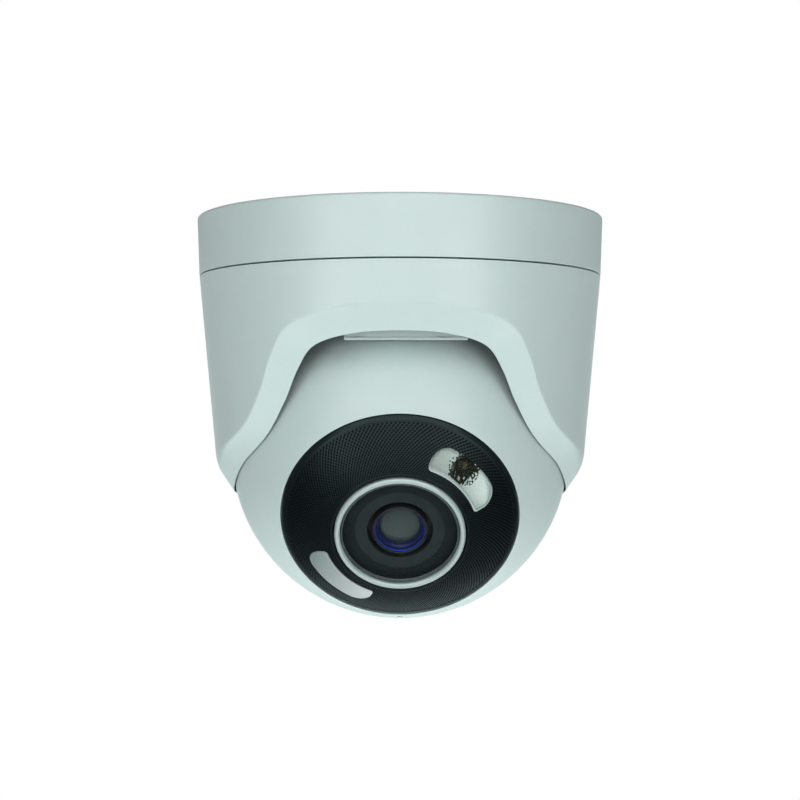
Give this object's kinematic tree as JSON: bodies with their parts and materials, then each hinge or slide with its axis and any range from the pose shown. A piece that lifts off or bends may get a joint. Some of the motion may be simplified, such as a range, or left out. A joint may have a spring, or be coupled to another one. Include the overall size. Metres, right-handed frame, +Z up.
{
  "type": "ceiling turret camera",
  "caption": "Ceiling-mounted turret security camera: a round base, a tapered panning housing and a tilting ball with a black dotted bezel, ringed lens window and lamp windows.",
  "frame": {"origin": "centre of the flat face that lies on the ceiling", "axes": "+Z up into the ceiling, -Y out of the housing's opening, +X to the right seen from the front"},
  "size_m": [0.11, 0.11, 0.1082],
  "materials": {
    "paint": "satin",
    "bezel_black": "gloss",
    "rubber": "matte",
    "steel": "satin",
    "ring_metal": "satin",
    "reflector_chrome": "polished",
    "window_glass": "polished",
    "lamp_window": "gloss",
    "lens_glass": "polished",
    "black_plastic": "matte",
    "white_plastic": "satin",
    "circuit_board": "satin",
    "component": "satin",
    "lamp_chip": "gloss"
  },
  "bodies": {
    "base": {"mounting_base": "paint", "pan_ring": "black_plastic", "ceiling_gasket": "rubber", "cable_grommet": "rubber", "seam_seal": "rubber", "pan_washer": "black_plastic", "pan_retainer": "steel", "retainer_screw_1": "steel", "retainer_screw_2": "steel", "retainer_screw_3": "steel"},
    "housing": {"housing_shell": "paint", "brake_plate": "paint", "brake_screw_left": "steel", "brake_screw_right": "steel", "lock_screw": "steel", "tilt_bush_left": "black_plastic", "tilt_bush_right": "black_plastic"},
    "cradle": {"tilt_yoke": "steel", "trunnion_pin_left": "steel", "trunnion_pin_right": "steel", "roll_washer": "black_plastic"},
    "eyeball": {"ball_front_shell": "paint", "ball_rear_shell": "paint", "hatch_cover": "paint", "bezel": "bezel_black", "shell_gasket": "rubber", "cable_gland": "rubber", "window_gasket": "rubber", "light_shield": "rubber", "hatch_gasket": "rubber", "rear_screw_1": "steel", "rear_screw_2": "steel", "rear_screw_3": "steel", "neck_nut": "steel", "card_socket": "steel", "lens_trim_ring": "ring_metal", "heat_spreader": "ring_metal", "reflector_upper": "reflector_chrome", "reflector_lower": "reflector_chrome", "front_window": "window_glass", "lamp_window_upper": "lamp_window", "lamp_window_lower": "lamp_window", "front_element": "lens_glass", "rear_element": "lens_glass", "lens_carrier": "black_plastic", "lens_barrel": "black_plastic", "lens_holder": "black_plastic", "lamp_board": "circuit_board", "sensor_board": "circuit_board", "main_board": "circuit_board", "service_board": "circuit_board", "image_sensor": "component", "processor": "component", "microphone": "component", "reset_switch": "component", "memory_card": "component", "lamp_upper": "lamp_chip", "lamp_lower": "lamp_chip"},
    "ir_cut": {"ir_cut_filter": "lens_glass"},
    "reset": {"reset_button": "white_plastic"}
  },
  "joints": [
    {"name": "pan", "type": "hinge", "parent": "base", "child": "housing", "pos_m": [0, 0, 0], "axis": [0, 0, 1], "range_deg": [-180, 180]},
    {"name": "tilt", "type": "hinge", "parent": "housing", "child": "cradle", "pos_m": [0, 0, -0.06247], "axis": [1, 0, 0], "range_deg": [-15, 59.5]},
    {"name": "roll", "type": "hinge", "parent": "cradle", "child": "eyeball", "pos_m": [0, 0, -0.06247], "axis": [0, -0.8631, -0.505], "range_deg": [-175, 175]},
    {"name": "ir_cut_slide", "type": "slide", "parent": "eyeball", "child": "ir_cut", "axis": [1, 0, 0], "range_m": [0, 0.007]},
    {"name": "reset_press", "type": "slide", "parent": "eyeball", "child": "reset", "axis": [0, -0.8631, -0.505], "range_m": [0, 0.0003], "stiffness_N_per_m": 1500}
  ]
}
